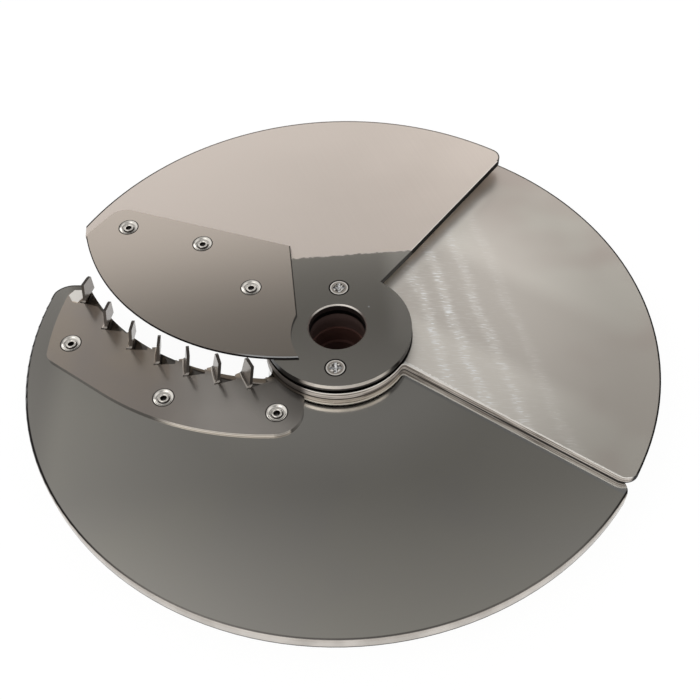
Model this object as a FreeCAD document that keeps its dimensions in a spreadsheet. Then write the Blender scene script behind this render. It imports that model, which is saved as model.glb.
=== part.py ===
import FreeCAD, Part
import math
import os
from FreeCAD import Placement, Rotation, Vector

# Cutting disc of a vegetable-cutting food processor.
# Three overlapping steel plates are screwed to a turned hub. The raised top plate carries
# a slicing blade, the bottom plate a comb with folded teeth, and food falls between them.
# Millimetres and degrees, +Z up. The origin lies on the drive bore's axis at the lower
# face of the hub. X points right, Y away from the viewer; azimuths run from +X to +Y.

SIZES = {
    # Stack of plates on the hub, from below
    "boss_radius": 24.0,
    "boss_height": 12.0,
    "bottom_thickness": 4.0,
    "middle_thickness": 3.0,
    "spacer_thickness": 1.5,
    "top_thickness": 2.5,
    "blade_thickness": 1.0,
    "comb_thickness": 1.0,
    # Round outlines about the axis
    "rim_radius": 102.5,
    "neck_radius": 24.2,
    "spacer_radius": 21.0,
    "plate_bore_radius": 9.3,
    "spacer_bore_radius": 9.0,
    "rim_rounding": 0.9,
    "bore_chamfer": 0.4,
    # Straight edges: the azimuth that an edge runs to, and how far it passes left of the axis
    "step_azimuth": -37.5,
    "step_offset": 2.1,
    "step_overlap": 1.5,
    "lap_azimuth": 50.0,
    "lap_offset": 0.5,
    "lap_overlap_angle": 8.0,
    "end_azimuth": -3.5,
    "end_offset": 25.0,
    "end_width": 11.03,
    "end_corner_radius": 7.5,
    "plate_corner_radius": 4.5,
    "step_corner_radius": 5.0,
    "inner_corner_radius": 3.0,
    "relief_radius": 1.2,
    "relief_margin": 1.0,
    "relief_azimuth": 47.5,
    # The slope of the top plate beyond its crease
    "crease_azimuth": 1.9,
    "crease_offset": 32.0,
    "crease_angle": 2.5,
    # Edge of the bottom plate under the cutting edge, with its centre seen from its outer end
    "throat_azimuth": 24.8,
    "throat_radius": 78.3,
    # Edge of the top plate, hidden under the blade: least distance behind the cutting edge
    "shelf_inset": 5.5,
    "shelf_azimuth": 68.5,
    "shelf_radius": 87.0,
    "top_end_offset": -84.8,
    # Slicing blade: centre seen from the throat's outer end, and straight edges seen from that centre
    "blade_centre_azimuth": 24.6,
    "blade_gap": 4.2,
    "blade_edge_radius": 77.2,
    "blade_back_azimuth": -20.4,
    "blade_back_offset": -26.7,
    "blade_tail_azimuth": 50.7,
    "blade_tail_offset": 46.8,
    "blade_root_azimuth": -86.2,
    "blade_root_offset": -12.6,
    "blade_corner_radius": 7.0,
    "blade_relief_radius": 19.8,
    "blade_relief_x": 4.7,
    "blade_relief_y": -3.2,
    "bevel_width": 1.5,
    "bevel_depth": 0.7,
    # Comb plate, with its centre seen from the throat's outer end
    "comb_centre_azimuth": 22.0,
    "comb_centre_distance": 73.25,
    "comb_width": 21.55,
    "comb_rim_margin": 6.2,
    "comb_neck_margin": 1.4,
    "comb_setback": 2.8,
    "comb_front_rise": 2.7,
    "comb_heel_azimuth": 143.0,
    "comb_heel_length": 30.0,
    "comb_end_margin": 3.9,
    "comb_root_azimuth": 86.0,
    "comb_root_offset": 9.7,
    "comb_heel_radius": 4.0,
    "comb_root_radius": 9.0,
    "comb_end_radius": 2.5,
    # Teeth, folded up from the comb plate
    "tooth_setback": 4.1,
    "tooth_row_azimuth": 171.5,
    "tooth_pitch": 10.6,
    "tooth_end_margin": 1.3,
    "tooth_hub_margin": 0.8,
    "tooth_height": 9.0,
    "tooth_length": 6.8,
    "tooth_top_length": 5.2,
    "tooth_top_drop": 0.45,
    "tooth_nose_length": 1.2,
    "tooth_nose_drop": 1.1,
    "tooth_fold_radius": 1.2,
    "tooth_fold_angle": 80.0,
    "tooth_toe_in": 3.0,
    "notch_width": 5.6,
    "slit_width": 0.7,
    # Hub bush
    "bush_radius": 12.5,
    "bush_throat_radius": 8.6,
    "drive_bore_radius": 7.5,
    "drive_bore_length": 6.0,
    "key_width": 5.0,
    "key_depth": 2.3,
    # Hub screws
    "screw_circle_radius": 17.0,
    "screw_azimuth": 86.0,
    "screw_radius": 2.0,
    "screw_head_radius": 3.5,
    "screw_length": 20.0,
    "recess_width": 0.9,
    "recess_length": 4.2,
    "recess_depth": 1.4,
    # Rivets
    "rivet_head_radius": 3.6,
    "rivet_radius": 2.0,
    "rivet_hole_radius": 1.0,
    "rivet_dish_depth": 0.8,
    "rivet_ring_inset": 0.4,
    "rivet_ring_chamfer": 0.3,
    "rivet_tail_radius": 3.0,
    "rivet_tail_height": 0.4,
    # Rivet places: azimuth about the blade's or comb's centre, and distance inside its edge
    "blade_rivet_1_azimuth": 193.8,
    "blade_rivet_1_inset": 15.3,
    "blade_rivet_2_azimuth": 216.4,
    "blade_rivet_2_inset": 36.0,
    "blade_rivet_3_azimuth": 251.2,
    "blade_rivet_3_inset": 28.5,
    "comb_rivet_1_azimuth": 217.91,
    "comb_rivet_1_inset": 5.95,
    "comb_rivet_2_azimuth": 244.7,
    "comb_rivet_2_inset": 7.64,
    "comb_rivet_3_azimuth": 269.16,
    "comb_rivet_3_inset": 8.16,
    "fit_clearance": 0.02,
}

doc = FreeCAD.newDocument("cutting_disc")
sheet = doc.addObject("Spreadsheet::Sheet", "sizes")
for row, (alias, number) in enumerate(SIZES.items(), start=1):
    sheet.set(f"A{row}", alias)
    sheet.set(f"B{row}", str(number))
    sheet.setAlias(f"B{row}", alias)
doc.recompute()

# Heights of the stack, as formulas of the sheet
BOTTOM_BASE = "sizes.boss_height"
MIDDLE_BASE = BOTTOM_BASE + " + sizes.bottom_thickness"
SPACER_BASE = MIDDLE_BASE + " + sizes.middle_thickness"
TOP_BASE = SPACER_BASE + " + sizes.spacer_thickness"
TOP_FACE = TOP_BASE + " + sizes.top_thickness"
REACH = "2 * sizes.rim_radius"
FAR_OUT = 10

# Plan places: the throat's outer end on the end edge, and the centres seen from it
END_RUN = "(sqrt(sizes.rim_radius ^ 2 - sizes.end_offset ^ 2) - sizes.end_width)"
END_X = f"-{END_RUN} * cos(sizes.end_azimuth) - sizes.end_offset * sin(sizes.end_azimuth)"
END_Y = f"-{END_RUN} * sin(sizes.end_azimuth) + sizes.end_offset * cos(sizes.end_azimuth)"
THROAT_X = END_X + " + sizes.throat_radius * cos(sizes.throat_azimuth)"
THROAT_Y = END_Y + " + sizes.throat_radius * sin(sizes.throat_azimuth)"
BLADE_X = END_X + " + (sizes.blade_edge_radius + sizes.blade_gap) * cos(sizes.blade_centre_azimuth)"
BLADE_Y = END_Y + " + (sizes.blade_edge_radius + sizes.blade_gap) * sin(sizes.blade_centre_azimuth)"
SHELF_SHIFT = "(sizes.shelf_radius - sizes.blade_edge_radius + sizes.shelf_inset)"
COMB_X = END_X + " + sizes.comb_centre_distance * cos(sizes.comb_centre_azimuth)"
COMB_Y = END_Y + " + sizes.comb_centre_distance * sin(sizes.comb_centre_azimuth)"
COMB_BACK_RADIUS = "sizes.comb_centre_distance + sizes.comb_width"


def size(alias):
    """One number of the sheet."""
    return float(sheet.get(alias))


def height_of(formula):
    """The value of one of the stack's heights."""
    return sum(size(term.strip().removeprefix("sizes.")) for term in formula.split("+"))


def place(thing, x, y, z, turn="0", tilt="0"):
    """Bind where an object stands, its turn about Z and its tilt about its own X edge."""
    thing.setExpression(".Placement.Base.x", x)
    thing.setExpression(".Placement.Base.y", y)
    thing.setExpression(".Placement.Base.z", z)
    thing.setExpression(".Placement.Rotation.Yaw", turn)
    thing.setExpression(".Placement.Rotation.Roll", tilt)
    return thing


def disc(name, radius, height=REACH, base="-sizes.rim_radius", x="0", y="0"):
    """A round plate or column."""
    solid = doc.addObject("Part::Cylinder", name)
    solid.setExpression("Radius", radius)
    solid.setExpression("Height", height)
    return place(solid, x, y, base)


def side_of_line(name, azimuth, offset, left, x="0", y="0"):
    """A block that ends at a straight edge and fills the side left or right of it.

    The edge passes the point (x, y) at the offset, counted to the left."""
    block = doc.addObject("Part::Box", name)
    block.setExpression("Length", "2 * " + REACH)
    block.setExpression("Width", REACH)
    block.setExpression("Height", REACH)
    start = f"({offset})" if left else f"({offset} - {REACH})"
    start_x = f"{x} - {REACH} * cos({azimuth}) - {start} * sin({azimuth})"
    start_y = f"{y} - {REACH} * sin({azimuth}) + {start} * cos({azimuth})"
    return place(block, start_x, start_y, "-sizes.rim_radius", azimuth)


def common(name, *things):
    both = doc.addObject("Part::MultiCommon", name)
    both.Shapes = things
    return both


def fuse(name, *things):
    joined = doc.addObject("Part::MultiFuse", name)
    joined.Shapes = things
    joined.Refine = True
    return joined


def cut(name, base, *tools):
    rest = doc.addObject("Part::Cut", name)
    rest.Base = base
    rest.Tool = tools[0] if len(tools) == 1 else fuse(name + "_tools", *tools)
    return rest


def upright_edges(shape):
    """Number, x and y of every edge that runs straight up."""
    found = []
    for number, edge in enumerate(shape.Edges, start=1):
        if len(edge.Vertexes) != 2:
            continue
        low, high = (vertex.Point for vertex in edge.Vertexes)
        if math.hypot(high.x - low.x, high.y - low.y) < 0.01 * abs(high.z - low.z):
            found.append((number, low.x, low.y))
    return found


def round_corners(name, base, corners):
    """Round the upright edges nearest to each (x, y, radius)."""
    doc.recompute()
    edges = upright_edges(base.Shape)
    chosen = {}
    for x, y, radius in corners:
        number = min(edges, key=lambda edge: math.hypot(edge[1] - x, edge[2] - y))[0]
        chosen[number] = radius
    rounded = doc.addObject("Part::Fillet", name)
    rounded.Base = base
    rounded.Edges = [(number, radius, radius) for number, radius in sorted(chosen.items())]
    return rounded


def ease_rim(name, round_plate):
    """Round the upper edge of a disc."""
    doc.recompute()
    edges = round_plate.Shape.Edges
    upper = max(range(len(edges)), key=lambda index: edges[index].CenterOfMass.z)
    eased = doc.addObject("Part::Fillet", name)
    eased.Base = round_plate
    eased.Edges = [(upper + 1, size("rim_rounding"), size("rim_rounding"))]
    return eased


def polar(radius, azimuth):
    angle = math.radians(azimuth)
    return radius * math.cos(angle), radius * math.sin(angle)


def far_towards(azimuth):
    """A point so far out that the corner nearest to it is the last one in that direction."""
    return polar(FAR_OUT * size("rim_radius"), azimuth)


def line_on_circle(azimuth, offset, radius, x=0, y=0, leaving=True):
    """Where an edge line leaves a circle about (x, y), or where it enters it."""
    along_x, along_y = polar(1, azimuth)
    aside = y * along_x - x * along_y - offset
    reach = math.sqrt(radius ** 2 - aside ** 2)
    travel = x * along_x + y * along_y + (reach if leaving else -reach)
    return along_x * travel - along_y * offset, along_y * travel + along_x * offset


def circle_on_neck(radius, x, y):
    """Where a circle about (x, y) leaves the neck's outline, counterclockwise of its centre."""
    neck_radius = size("neck_radius")
    apart = math.hypot(x, y)
    inward = (neck_radius ** 2 - radius ** 2 + apart ** 2) / (2 * apart)
    return polar(neck_radius, math.degrees(math.atan2(y, x) + math.acos(inward / neck_radius)))


def centre_of(column):
    """Plan place of a column's axis."""
    doc.recompute()
    return column.Placement.Base.x, column.Placement.Base.y


# Cutters that the plates share
neck = disc("neck_column", "sizes.neck_radius")
rim = disc("rim_column", "sizes.rim_radius")
throat = disc("throat_column", "sizes.throat_radius", x=THROAT_X, y=THROAT_Y)
edge_column = disc("edge_column", "sizes.blade_edge_radius", x=BLADE_X, y=BLADE_Y)
comb_back = disc("comb_back", COMB_BACK_RADIUS, "sizes.comb_thickness", MIDDLE_BASE, COMB_X, COMB_Y)
plate_bore = disc("plate_bore", "sizes.plate_bore_radius")
screw_places = [(f"sizes.screw_circle_radius * cos(sizes.screw_azimuth + {turn})",
                 f"sizes.screw_circle_radius * sin(sizes.screw_azimuth + {turn})") for turn in (0, 180)]
screw_holes = [disc(f"screw_hole_{number}", "sizes.screw_radius + sizes.fit_clearance", x=x, y=y)
               for number, (x, y) in enumerate(screw_places, start=1)]


def countersink(name, x, y):
    """The conical seat of a hub screw in the top plate."""
    cone = doc.addObject("Part::Cone", name)
    cone.setExpression("Radius1", "sizes.screw_radius + sizes.fit_clearance")
    cone.setExpression("Radius2", "sizes.screw_head_radius + sizes.fit_clearance")
    cone.setExpression("Height", "sizes.screw_head_radius - sizes.screw_radius")
    return place(cone, x, y, f"{TOP_FACE} - sizes.screw_head_radius + sizes.screw_radius")


seats = [countersink(f"screw_seat_{number}", x, y) for number, (x, y) in enumerate(screw_places, start=1)]


# The crease of the top plate
def beyond_crease(x, y):
    """How far a plan point lies beyond the crease."""
    turn = math.radians(size("crease_azimuth"))
    return y * math.cos(turn) - x * math.sin(turn) - size("crease_offset")


def on_top_plate(x, y):
    """The placement of something that stands on the top plate's upper face."""
    height = height_of(TOP_FACE)
    flat = Placement(Vector(x, y, height), Rotation())
    if beyond_crease(x, y) < 0:
        return flat
    turn = math.radians(size("crease_azimuth"))
    axis = Vector(math.cos(turn), math.sin(turn), 0)
    foot = Vector(-math.sin(turn), math.cos(turn), 0) * size("crease_offset")
    foot.z = height
    return Placement(Vector(), Rotation(axis, size("crease_angle")), foot) * flat


def creased_slab(name, low, high):
    """A slab that lies level as far as the crease and slopes up beyond it.

    low and high are counted from the upper face of the top plate."""
    level = doc.addObject("Part::Box", name + "_level")
    slope = doc.addObject("Part::Box", name + "_slope")
    mitre = f"max(0; -({low})) * sin(sizes.crease_angle)"
    lean_x = f"({low}) * sin(sizes.crease_azimuth) * sin(sizes.crease_angle)"
    lean_y = f"({low}) * cos(sizes.crease_azimuth) * sin(sizes.crease_angle)"
    start_x = f"-{REACH} * cos(sizes.crease_azimuth)"
    start_y = f"-{REACH} * sin(sizes.crease_azimuth)"
    for block in (level, slope):
        block.setExpression("Length", "2 * " + REACH)
        block.setExpression("Height", f"{high} - ({low})")
    level.setExpression("Width", f"{REACH} + sizes.crease_offset + {mitre}")
    place(level, f"{start_x} + {REACH} * sin(sizes.crease_azimuth)",
          f"{start_y} - {REACH} * cos(sizes.crease_azimuth)",
          f"{TOP_FACE} + ({low})", "sizes.crease_azimuth")
    slope.setExpression("Width", REACH)
    place(slope, f"{start_x} - sizes.crease_offset * sin(sizes.crease_azimuth) + {lean_x}",
          f"{start_y} + sizes.crease_offset * cos(sizes.crease_azimuth) - {lean_y}",
          f"{TOP_FACE} + ({low}) * cos(sizes.crease_angle)", "sizes.crease_azimuth", "sizes.crease_angle")
    return fuse(name, level, slope)


# Rivets
def turned(name, profile, where):
    """A solid turned about Z from the (radius, height) points of its half section."""
    points = [Vector(radius, 0, height) for radius, height in profile]
    face = Part.Face(Part.makePolygon(points + points[:1]))
    solid = doc.addObject("Part::Feature", name)
    solid.Shape = face.revolve(Vector(0, 0, 0), Vector(0, 0, 1), 360)
    solid.Placement = where
    return solid


def rivet_profile(grip):
    """Half section of a hollow rivet: flared head, raised inner ring and upset tail."""
    head = size("rivet_head_radius")
    shank = size("rivet_radius")
    hole = size("rivet_hole_radius")
    tail = size("rivet_tail_radius")
    end = -grip - size("rivet_tail_height")
    chamfer = size("rivet_ring_chamfer")
    return [(head, 0), (shank, shank - head), (shank, -grip), (tail, -grip),
            (shank, end), (hole, end), (hole, -chamfer), (hole + chamfer, 0),
            (shank - size("rivet_ring_inset"), 0), (shank, -size("rivet_dish_depth"))]


def rivet_hole_profile(grip):
    """Half section of the countersunk hole that a rivet fills."""
    slack = size("fit_clearance")
    head = size("rivet_head_radius") + slack
    shank = size("rivet_radius") + slack
    above = size("rivet_tail_height")
    below = -grip - above
    return [(0, above), (head, above), (head, 0), (shank, shank - head), (shank, below), (0, below)]


def rivet_row(label, places, grip):
    """The rivets of one row, and the holes for them."""
    pieces = []
    holes = []
    for number, where in enumerate(places, start=1):
        pieces.append(turned(f"{label}_{number}", rivet_profile(grip), where))
        holes.append(turned(f"{label}_hole_{number}", rivet_hole_profile(grip), where))
    return pieces, holes


def rivet_points(label, column):
    """Plan places of three rivets inside a round edge."""
    centre_x, centre_y = centre_of(column)
    points = []
    for number in (1, 2, 3):
        reach = column.Radius.Value - size(f"{label}_{number}_inset")
        x, y = polar(reach, size(f"{label}_{number}_azimuth"))
        points.append((centre_x + x, centre_y + y))
    return points


blade_rivet_places = [on_top_plate(x, y) * Placement(Vector(0, 0, size("blade_thickness")), Rotation())
                      for x, y in rivet_points("blade_rivet", edge_column)]
comb_face = height_of(MIDDLE_BASE) + size("comb_thickness")
comb_rivet_places = [Placement(Vector(x, y, comb_face), Rotation())
                     for x, y in rivet_points("comb_rivet", comb_back)]
blade_rivets, blade_rivet_holes = rivet_row("blade_rivet", blade_rivet_places,
                                            size("blade_thickness") + size("top_thickness"))
comb_rivets, comb_rivet_holes = rivet_row("comb_rivet", comb_rivet_places,
                                          size("comb_thickness") + size("bottom_thickness"))

# Top plate: creased sheet, raised by the spacer
RIM = size("rim_radius")
lap_edge = side_of_line("lap_edge", "sizes.lap_azimuth", "sizes.lap_offset", left=True)
shelf = disc("shelf_column", "sizes.shelf_radius",
             x=f"{BLADE_X} + {SHELF_SHIFT} * cos(sizes.shelf_azimuth)",
             y=f"{BLADE_Y} + {SHELF_SHIFT} * sin(sizes.shelf_azimuth)")
top_end = side_of_line("top_end", "sizes.blade_root_azimuth", "sizes.top_end_offset", left=True)
top_outline = fuse("top_outline", common("top_sector", rim, lap_edge, shelf, top_end), neck)
top_blank = common("top_blank", creased_slab("top_slab", "-sizes.top_thickness", "0"), top_outline)
relief = disc("lap_relief", "sizes.relief_radius",
              x="(sizes.neck_radius + sizes.relief_margin) * cos(sizes.relief_azimuth)",
              y="(sizes.neck_radius + sizes.relief_margin) * sin(sizes.relief_azimuth)")
top_rounded = round_corners("top_rounded", top_blank, [
    (*line_on_circle(size("lap_azimuth"), size("lap_offset"), RIM), size("plate_corner_radius"))])
bore_mouth = doc.addObject("Part::Cone", "bore_mouth")
bore_mouth.setExpression("Radius1", "sizes.plate_bore_radius")
bore_mouth.setExpression("Radius2", "sizes.plate_bore_radius + sizes.bore_chamfer")
bore_mouth.setExpression("Height", "sizes.bore_chamfer")
place(bore_mouth, "0", "0", f"{TOP_FACE} - sizes.bore_chamfer")
top_plate = cut("top_plate", top_rounded, plate_bore, bore_mouth, relief, *screw_holes, *seats,
                *blade_rivet_holes)

# Middle plate: the step behind the lap edge of the top plate
step_edge = side_of_line("step_edge", "sizes.step_azimuth", "sizes.step_offset", left=True)
lap_under = side_of_line("lap_under", "sizes.lap_azimuth + sizes.lap_overlap_angle", "sizes.lap_offset",
                         left=False)
middle_disc = disc("middle_disc", "sizes.rim_radius", "sizes.middle_thickness", MIDDLE_BASE)
middle_neck = disc("middle_neck", "sizes.neck_radius", "sizes.middle_thickness", MIDDLE_BASE)
middle_blank = fuse("middle_blank", common("middle_sector", middle_disc, step_edge, lap_under), middle_neck)
middle_rounded = round_corners("middle_rounded", middle_blank, [
    (*line_on_circle(size("step_azimuth"), size("step_offset"), RIM), size("plate_corner_radius")),
    (*line_on_circle(size("lap_azimuth") + size("lap_overlap_angle"), size("lap_offset"), RIM),
     size("plate_corner_radius")),
    (*line_on_circle(size("step_azimuth"), size("step_offset"), size("neck_radius")),
     size("relief_radius"))])
middle_plate = cut("middle_plate", middle_rounded, plate_bore, *screw_holes)

# Bottom plate: the widest sector, open at the throat under the blade
step_under = side_of_line("step_under", "sizes.step_azimuth", "sizes.step_offset + sizes.step_overlap",
                          left=False)
beyond_end = side_of_line("beyond_end", "sizes.end_azimuth", "sizes.end_offset", left=True)
bottom_disc = disc("bottom_disc", "sizes.rim_radius", "sizes.bottom_thickness", BOTTOM_BASE)
bottom_neck = disc("bottom_neck", "sizes.neck_radius", "sizes.bottom_thickness", BOTTOM_BASE)
bottom_sector = cut("bottom_sector", common("bottom_half", bottom_disc, step_under), throat, beyond_end)
bottom_blank = fuse("bottom_blank", bottom_sector, bottom_neck)
throat_circle = (size("throat_radius"), *centre_of(throat))
bottom_rounded = round_corners("bottom_rounded", bottom_blank, [
    (*line_on_circle(size("step_azimuth"), size("step_offset") + size("step_overlap"), RIM),
     size("step_corner_radius")),
    (*line_on_circle(size("end_azimuth"), size("end_offset"), RIM, leaving=False),
     size("end_corner_radius")),
    (*line_on_circle(size("end_azimuth"), size("end_offset"), *throat_circle, leaving=False),
     size("inner_corner_radius")),
    (*circle_on_neck(*throat_circle), size("inner_corner_radius"))])
bottom_eased = common("bottom_eased", bottom_rounded, ease_rim("eased_disc", bottom_disc))
bottom_plate = cut("bottom_plate", bottom_eased, plate_bore, *screw_holes, *comb_rivet_holes)

# Spacer ring between the middle and the top plate
spacer_ring = disc("spacer_ring", "sizes.spacer_radius", "sizes.spacer_thickness", SPACER_BASE)
spacer_bore = disc("spacer_bore", "sizes.spacer_bore_radius")
plate_spacer = cut("plate_spacer", spacer_ring, spacer_bore, *screw_holes)

# Slicing blade: thin sheet on the top plate, creased with it and bevelled along its edge
blade_back = side_of_line("blade_back", "sizes.blade_back_azimuth", "sizes.blade_back_offset", left=False,
                          x=BLADE_X, y=BLADE_Y)
blade_tail = side_of_line("blade_tail", "sizes.blade_tail_azimuth", "sizes.blade_tail_offset", left=False,
                          x=BLADE_X, y=BLADE_Y)
blade_root = side_of_line("blade_root", "sizes.blade_root_azimuth", "sizes.blade_root_offset", left=False)
blade_relief = disc("blade_relief", "sizes.blade_relief_radius",
                    x="sizes.blade_relief_x", y="sizes.blade_relief_y")
blade_blank = common("blade_blank", creased_slab("blade_slab", "0", "sizes.blade_thickness"),
                     edge_column, blade_back, blade_tail, blade_root)


def crossing(first, second, x, y):
    """Where two edge lines cross, each an azimuth and its offset from the point (x, y)."""
    a, b = math.radians(first[0]), math.radians(second[0])
    across = math.sin(b - a)
    return (x + (first[1] * math.cos(b) - second[1] * math.cos(a)) / across,
            y + (first[1] * math.sin(b) - second[1] * math.sin(a)) / across)


blade_tip = crossing((size("blade_back_azimuth"), size("blade_back_offset")),
                     (size("blade_tail_azimuth"), size("blade_tail_offset")), *centre_of(edge_column))
blade_rounded = round_corners("blade_rounded", blade_blank, [(*blade_tip, size("blade_corner_radius"))])


def bevel(name, base, column):
    """Grind the upper edges that follow a column."""
    centre = Vector(*centre_of(column), 0)
    radius = column.Radius.Value
    upper = [edge for face in base.Shape.Faces if face.normalAt(0, 0).z > 0.9 for edge in face.Edges]
    chosen = []
    for number, edge in enumerate(base.Shape.Edges, start=1):
        middle = edge.valueAt((edge.FirstParameter + edge.LastParameter) / 2)
        aside = math.hypot(middle.x - centre.x, middle.y - centre.y)
        if abs(aside - radius) < size("fit_clearance") and any(edge.isSame(other) for other in upper):
            chosen.append((number, size("bevel_depth"), size("bevel_width")))
    ground = doc.addObject("Part::Chamfer", name)
    ground.Base = base
    ground.Edges = chosen
    return ground


blade_ground = bevel("blade_ground", blade_rounded, edge_column)
slicing_blade = cut("slicing_blade", blade_ground, blade_relief, *blade_rivet_holes)

# Comb plate: thin sheet on the bottom plate, with a row of teeth folded up from its edge
comb_rim = disc("comb_rim", "sizes.rim_radius - sizes.comb_rim_margin")
comb_root = side_of_line("comb_root", "sizes.comb_root_azimuth", "sizes.comb_root_offset", left=True)
comb_end = side_of_line("comb_end", "sizes.end_azimuth", "sizes.end_offset - sizes.comb_end_margin",
                        left=False)
comb_heel = doc.addObject("Part::Box", "comb_heel")
comb_heel.setExpression("Length", "sizes.comb_heel_length")
comb_heel.setExpression("Width", COMB_BACK_RADIUS)
comb_heel.setExpression("Height", "sizes.comb_thickness")
place(comb_heel, COMB_X, COMB_Y, MIDDLE_BASE, "sizes.comb_heel_azimuth")
comb_front = disc("comb_front", "sizes.throat_radius + sizes.comb_setback",
                  x=THROAT_X, y=THROAT_Y + " + sizes.comb_front_rise")
comb_neck = disc("comb_neck", "sizes.neck_radius + sizes.comb_neck_margin")
comb_outline = fuse("comb_outline", comb_back, comb_heel)
comb_blank = cut("comb_blank", common("comb_crescent", comb_outline, comb_rim, comb_root, comb_end),
                 comb_front, comb_neck)
heel_corner, root_corner = far_towards(205), far_towards(290)
neck_corner, end_corner = far_towards(20), far_towards(165)
comb_rounded = round_corners("comb_rounded", comb_blank, [
    (*heel_corner, size("comb_heel_radius")),
    (*root_corner, size("comb_root_radius")),
    (*neck_corner, size("relief_radius")),
    (*end_corner, size("comb_end_radius"))])


row = Vector(*polar(1, size("tooth_row_azimuth")), 0)
throat_centre = Vector(*centre_of(throat), 0)
throat_end = Vector(*line_on_circle(size("end_azimuth"), size("end_offset"), *throat_circle,
                                    leaving=False), 0)
row_length = throat_end.dot(row) - size("tooth_end_margin") - size("neck_radius") - size("tooth_hub_margin")
tooth_count = int(row_length / size("tooth_pitch")) + 1


def tooth_foot(number):
    """Plan place of a tooth's leading end: an even pitch from the throat's outer end, beside its edge."""
    along = (throat_end - throat_centre).dot(row) - size("tooth_end_margin") - number * size("tooth_pitch")
    across = math.sqrt((size("throat_radius") + size("tooth_setback")) ** 2 - along ** 2)
    return throat_centre + row * along + Vector(-row.y, row.x, 0) * across


def tooth_place(number):
    """A tooth stands along the circle that it travels on, turned in a little at its back."""
    foot = tooth_foot(number)
    travel = Vector(foot.y, -foot.x, 0).normalize()
    middle = foot + travel * size("tooth_length") / 2
    turn = math.degrees(math.atan2(-middle.x, middle.y)) - size("tooth_toe_in")
    return Placement(Vector(foot.x, foot.y, comb_face), Rotation(Vector(0, 0, 1), turn))


def bend_start():
    """How far outside a tooth's foot line the sheet begins to curve up."""
    fold = math.radians(size("tooth_fold_angle"))
    radius = size("tooth_fold_radius")
    middle = radius + size("comb_thickness") / 2
    rise = radius - middle * math.cos(fold)
    return middle * math.sin(fold) - rise / math.tan(fold)


def tooth_section():
    """Section of a tooth across its length: sheet, bend and leaning blade. Hub side is -Y."""
    fold = math.radians(size("tooth_fold_angle"))
    radius = size("tooth_fold_radius")
    thick = size("comb_thickness")
    start = bend_start()
    centre = Vector(0, start, radius)
    run = 2 * size("tooth_height")

    def around(distance, angle):
        return centre + Vector(0, -distance * math.sin(angle), -distance * math.cos(angle))

    rising = Vector(0, -math.cos(fold), math.sin(fold)) * run
    inner_low, inner_high = around(radius, 0), around(radius, fold)
    outer_low, outer_high = around(radius + thick, 0), around(radius + thick, fold)
    outside = Vector(0, thick, 0)
    return Part.Face(Part.Wire([
        Part.LineSegment(inner_low + outside, inner_low).toShape(),
        Part.Arc(inner_low, around(radius, fold / 2), inner_high).toShape(),
        Part.LineSegment(inner_high, inner_high + rising).toShape(),
        Part.LineSegment(inner_high + rising, outer_high + rising).toShape(),
        Part.LineSegment(outer_high + rising, outer_high).toShape(),
        Part.Arc(outer_high, around(radius + thick, fold / 2), outer_low).toShape(),
        Part.LineSegment(outer_low, outer_low + outside).toShape(),
        Part.LineSegment(outer_low + outside, inner_low + outside).toShape()]))


def tooth_side():
    """Side view of a tooth: upright leading edge, level top, back that slopes over the throat."""
    height = size("tooth_height")
    top = size("tooth_top_length")
    length = size("tooth_length")
    low = -2 * size("comb_thickness")
    outline = [(0, low), (0, height), (top - size("tooth_nose_length"), height - size("tooth_top_drop")),
               (top, height - size("tooth_nose_drop")), (length, 0), (length, low)]
    return Part.Face(Part.makePolygon([Vector(x, 0, z) for x, z in outline + outline[:1]]))


def tooth(number):
    """One tooth, and the notch that it was cut from."""
    length = size("tooth_length")
    width = 4 * size("tooth_height")
    side = tooth_side()
    side.translate(Vector(0, width / 2, 0))
    solid = doc.addObject("Part::Feature", f"tooth_{number + 1}")
    solid.Shape = tooth_section().extrude(Vector(length, 0, 0)).common(side.extrude(Vector(0, -width, 0)))
    solid.Placement = tooth_place(number)
    notch = doc.addObject("Part::Box", f"notch_{number + 1}")
    notch.setExpression("Length", "2 * sizes.tooth_length")
    notch.setExpression("Height", "3 * sizes.comb_thickness")
    notch.Width = size("notch_width") + bend_start()
    corner = Vector(-size("slit_width"), -size("notch_width"), -2 * size("comb_thickness"))
    notch.Placement = tooth_place(number) * Placement(corner, Rotation())
    return solid, notch


teeth = [tooth(number) for number in range(tooth_count)]
comb_sheet = cut("comb_sheet", comb_rounded, *comb_rivet_holes, *[notch for solid, notch in teeth])
comb_plate = fuse("comb_plate", comb_sheet, *[solid for solid, notch in teeth])

# Hub: turned boss under the plates, with the bush that takes the drive shaft
boss_bar = disc("boss_bar", "sizes.boss_radius", "sizes.boss_height", "0")
boss_seat = disc("boss_seat", "sizes.bush_radius + sizes.fit_clearance")
hub_boss = cut("hub_boss", boss_bar, boss_seat, *screw_holes)
bush_bar = disc("bush_bar", "sizes.bush_radius", "sizes.boss_height", "0")
bush_throat = disc("bush_throat", "sizes.bush_throat_radius", base="sizes.drive_bore_length")
drive_bore = disc("drive_bore", "sizes.drive_bore_radius")
keyway = doc.addObject("Part::Box", "keyway")
keyway.setExpression("Length", "sizes.key_width")
keyway.setExpression("Width", "sizes.drive_bore_radius + sizes.key_depth")
keyway.setExpression("Height", "2 * sizes.drive_bore_length")
place(keyway, "-sizes.key_width / 2", "-sizes.drive_bore_radius - sizes.key_depth",
      "-sizes.drive_bore_length")
drive_bush = cut("drive_bush", bush_bar, bush_throat, drive_bore, keyway)


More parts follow.
